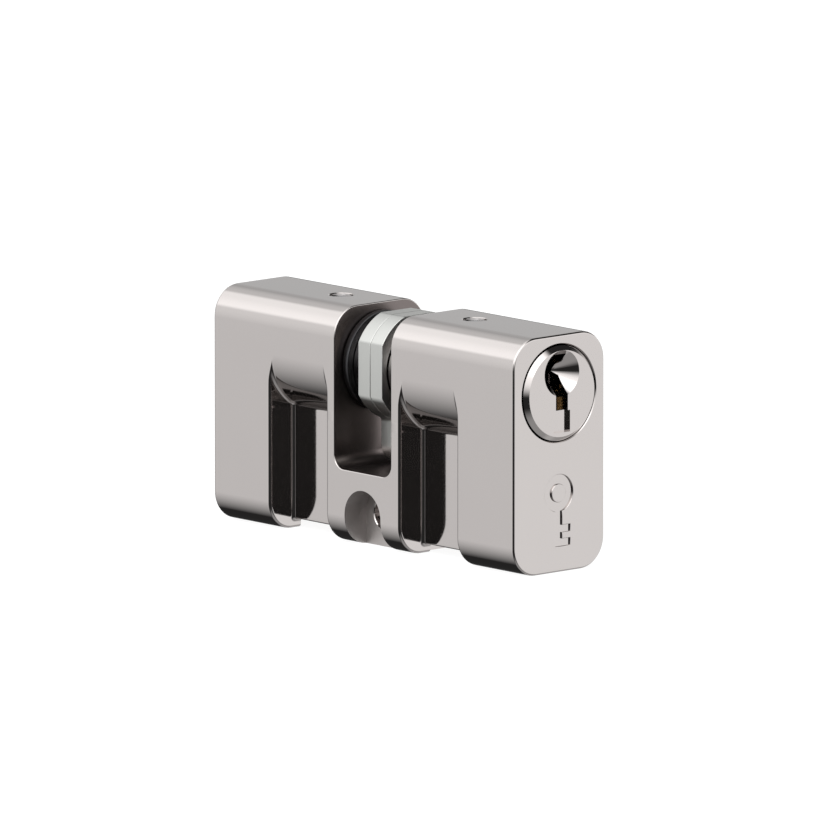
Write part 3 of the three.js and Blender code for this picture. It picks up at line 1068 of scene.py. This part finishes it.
# The studio around the piece. A lamp's strength is what the nickel shows of it. Ramps keep it to directions:
# each goes from 0 to 1 as a direction's share along the axis given goes from start to end, softly or evenly.
NICKEL_SHARE = 0.50
UP = (0, 0, 1)
ACROSS = (0, 1, 0)
SIDE_PANEL = (-0.3, -0.85, 0.43)
FAR_PANEL = (0.62, 0.75, -0.2)
PANELS = (
    (0.67, ((SIDE_PANEL, 0, 1, "LINEAR"), (UP, -0.95, -0.7, "SMOOTHSTEP"))),
    (0.60, ((FAR_PANEL, 0, 1, "LINEAR"), (UP, -0.9, -0.3, "SMOOTHSTEP"))),
    (0.28, ((UP, -0.05, 0.15, "SMOOTHSTEP"), (ACROSS, -0.3, 0.4, "SMOOTHSTEP"))),
)
# Dark flags before the panels, low at the front and high up behind. Each is dark where its ramp begins.
VIEWER_FLAG = (0.62, -0.60, -0.50)
FAR_FLAG = (0.17, 0.66, 0.73)
FLAGS = ((VIEWER_FLAG, 0.80, 0.35, "SMOOTHSTEP"), (FAR_FLAG, 0.93, 0.72, "SMOOTHSTEP"))
# Lamps that no flag covers, from above, from above the front, and back off the floor, with a faint even light
ROOF_LAMP = (-0.1, -0.45, 0.89)
FRONT_LAMP = (0.62, -0.46, 0.60)
FLOOR_BOUNCE = (-0.17, 0.66, -0.73)
FRONT_BOUNCE = (0.35, -0.10, -0.93)
LAMPS = (
    (0.31, ((ROOF_LAMP, 0.60, 0.68, "SMOOTHSTEP"),)),
    (0.76, ((FRONT_LAMP, 0.66, 0.94, "SMOOTHSTEP"),)),
    (0.26, ((FLOOR_BOUNCE, 0.79, 0.966, "SMOOTHSTEP"),)),
    (0.22, ((FRONT_BOUNCE, 0.70, 0.97, "SMOOTHSTEP"),)),
    (0.015, ()),
)


def kept_to(tree, direction, strength, ramps):
    """A lamp's strength in each direction, kept down by its ramps."""
    for towards, start, end, easing in ramps:
        share = add(
            tree, "ShaderNodeVectorMath", {0: direction, 1: Vector(towards).normalized()},
            operation="DOT_PRODUCT",
        )
        kept = add(
            tree, "ShaderNodeMapRange",
            {"Value": share.outputs["Value"], "From Min": start, "From Max": end},
            interpolation_type=easing,
        )
        scaled = add(tree, "ShaderNodeMath", {0: kept.outputs["Result"], 1: strength}, operation="MULTIPLY")
        strength = scaled.outputs["Value"]
    return strength


def lit_by(tree, direction, total, lamps):
    """What comes from each direction once the lamps are added to it."""
    for strength, ramps in lamps:
        lamp = kept_to(tree, direction, strength / NICKEL_SHARE, ramps)
        total = add(tree, "ShaderNodeMath", {0: total, 1: lamp}, operation="ADD").outputs["Value"]
    return total


def studio_light(scene):
    """Soft panels, dark flags and lamps around the piece, before a plain white background."""
    world = bpy.data.worlds.new("studio")
    world.use_nodes = True
    tree = world.node_tree
    tree.nodes.clear()
    direction = add(tree, "ShaderNodeTexCoord").outputs["Generated"]
    total = lit_by(tree, direction, 0.0, PANELS)
    total = kept_to(tree, direction, total, FLAGS)
    total = lit_by(tree, direction, total, LAMPS)
    lit = add(tree, "ShaderNodeBackground", {"Color": (1, 1, 1, 1), "Strength": total})
    white = add(tree, "ShaderNodeBackground", {"Color": (1, 1, 1, 1), "Strength": 1.0})
    seen = add(tree, "ShaderNodeLightPath").outputs["Is Camera Ray"]
    mixed = add(tree, "ShaderNodeMixShader", {0: seen, 1: lit.outputs[0], 2: white.outputs[0]})
    add(tree, "ShaderNodeOutputWorld", {"Surface": mixed.outputs[0]})
    scene.world = world


def pale_floor(finish):
    """A wide pale disc that takes only a faint shadow, and isn't seen in the metal."""
    bm = bmesh.new()
    bmesh.ops.create_circle(bm, cap_ends=True, radius=FLOOR_RADIUS, segments=ROUND_SIDES)
    floor = as_object("floor", bm)
    # Matt paper: mostly even white, with a small share that shadows can darken
    paper = bpy.data.materials.new("white_paper_matt")
    paper.use_nodes = True
    tree = paper.node_tree
    tree.nodes.clear()
    matt = add(tree, "ShaderNodeBsdfDiffuse", {"Color": shaded(finish.floor, FLOOR_MATT)})
    glow = add(tree, "ShaderNodeEmission", {"Color": tuple(finish.floor), "Strength": FLOOR_GLOW})
    both = add(tree, "ShaderNodeAddShader", {0: matt.outputs[0], 1: glow.outputs[0]})
    add(tree, "ShaderNodeOutputMaterial", {"Surface": both.outputs[0]})
    floor.data.materials.append(paper)
    floor.visible_glossy = False
    floor.visible_diffuse = False


def product_camera(scene):
    """A long lens far off, turned to the front key face and a little above it."""
    data = bpy.data.cameras.new("camera")
    data.lens = VIEW_LENS
    data.clip_end = VIEW_FAR
    camera = bpy.data.objects.new("camera", data)
    scene.collection.objects.link(camera)
    flat = math.cos(VIEW_ELEVATION)
    back = Vector((
        math.sin(VIEW_AZIMUTH) * flat,
        -math.cos(VIEW_AZIMUTH) * flat,
        math.sin(VIEW_ELEVATION),
    ))
    turn = back.to_track_quat("Z", "Y")
    right = turn @ Vector((1, 0, 0))
    up = turn @ Vector((0, 1, 0))
    middle = Vector((0, 0, HEIGHT / 2 * MM))
    camera.location = middle + back * VIEW_DISTANCE + right * VIEW_RIGHT + up * VIEW_UP
    camera.rotation_mode = "QUATERNION"
    camera.rotation_quaternion = turn
    scene.camera = camera


class AddStage(bpy.types.Operator):
    """Adds the pale floor, the soft studio light and the camera"""

    bl_idname = "lock.add_stage"
    bl_label = "Add stage"

    def execute(self, context):
        scene = context.scene
        scene.view_settings.view_transform = "Standard"
        studio_light(scene)
        pale_floor(scene.lock_finish)
        product_camera(scene)
        return {"FINISHED"}


# ---------------------------------------------------------------- panel and run

BUILDERS = (AddHousing, AddPlugs, AddCam, AddPins, AddTopPins, AddStage)


class LockPanel(bpy.types.Panel):
    """Lists what builds the lock cylinder, with its sizes and colours"""

    bl_idname = "VIEW3D_PT_lock_cylinder"
    bl_label = "Lock Cylinder"
    bl_space_type = "VIEW_3D"
    bl_region_type = "UI"
    bl_category = "Lock Cylinder"

    def draw(self, context):
        for group in (context.scene.lock_shape, context.scene.lock_finish):
            column = self.layout.column()
            for name in group.__annotations__:
                column.prop(group, name)
        for builder in BUILDERS:
            self.layout.operator(builder.bl_idname)


CLASSES = (LockShape, LockFinish, *BUILDERS, LockPanel)


def register():
    for each in CLASSES:
        bpy.utils.register_class(each)
    bpy.types.Scene.lock_shape = bpy.props.PointerProperty(type=LockShape)
    bpy.types.Scene.lock_finish = bpy.props.PointerProperty(type=LockFinish)


def unregister():
    del bpy.types.Scene.lock_finish
    del bpy.types.Scene.lock_shape
    for each in reversed(CLASSES):
        bpy.utils.unregister_class(each)


def main():
    register()
    bpy.ops.lock.add_housing()
    bpy.ops.lock.add_plugs()
    bpy.ops.lock.add_cam()
    bpy.ops.lock.add_pins()
    bpy.ops.lock.add_top_pins()
    bpy.ops.lock.add_stage()


if __name__ == "__main__":
    main()
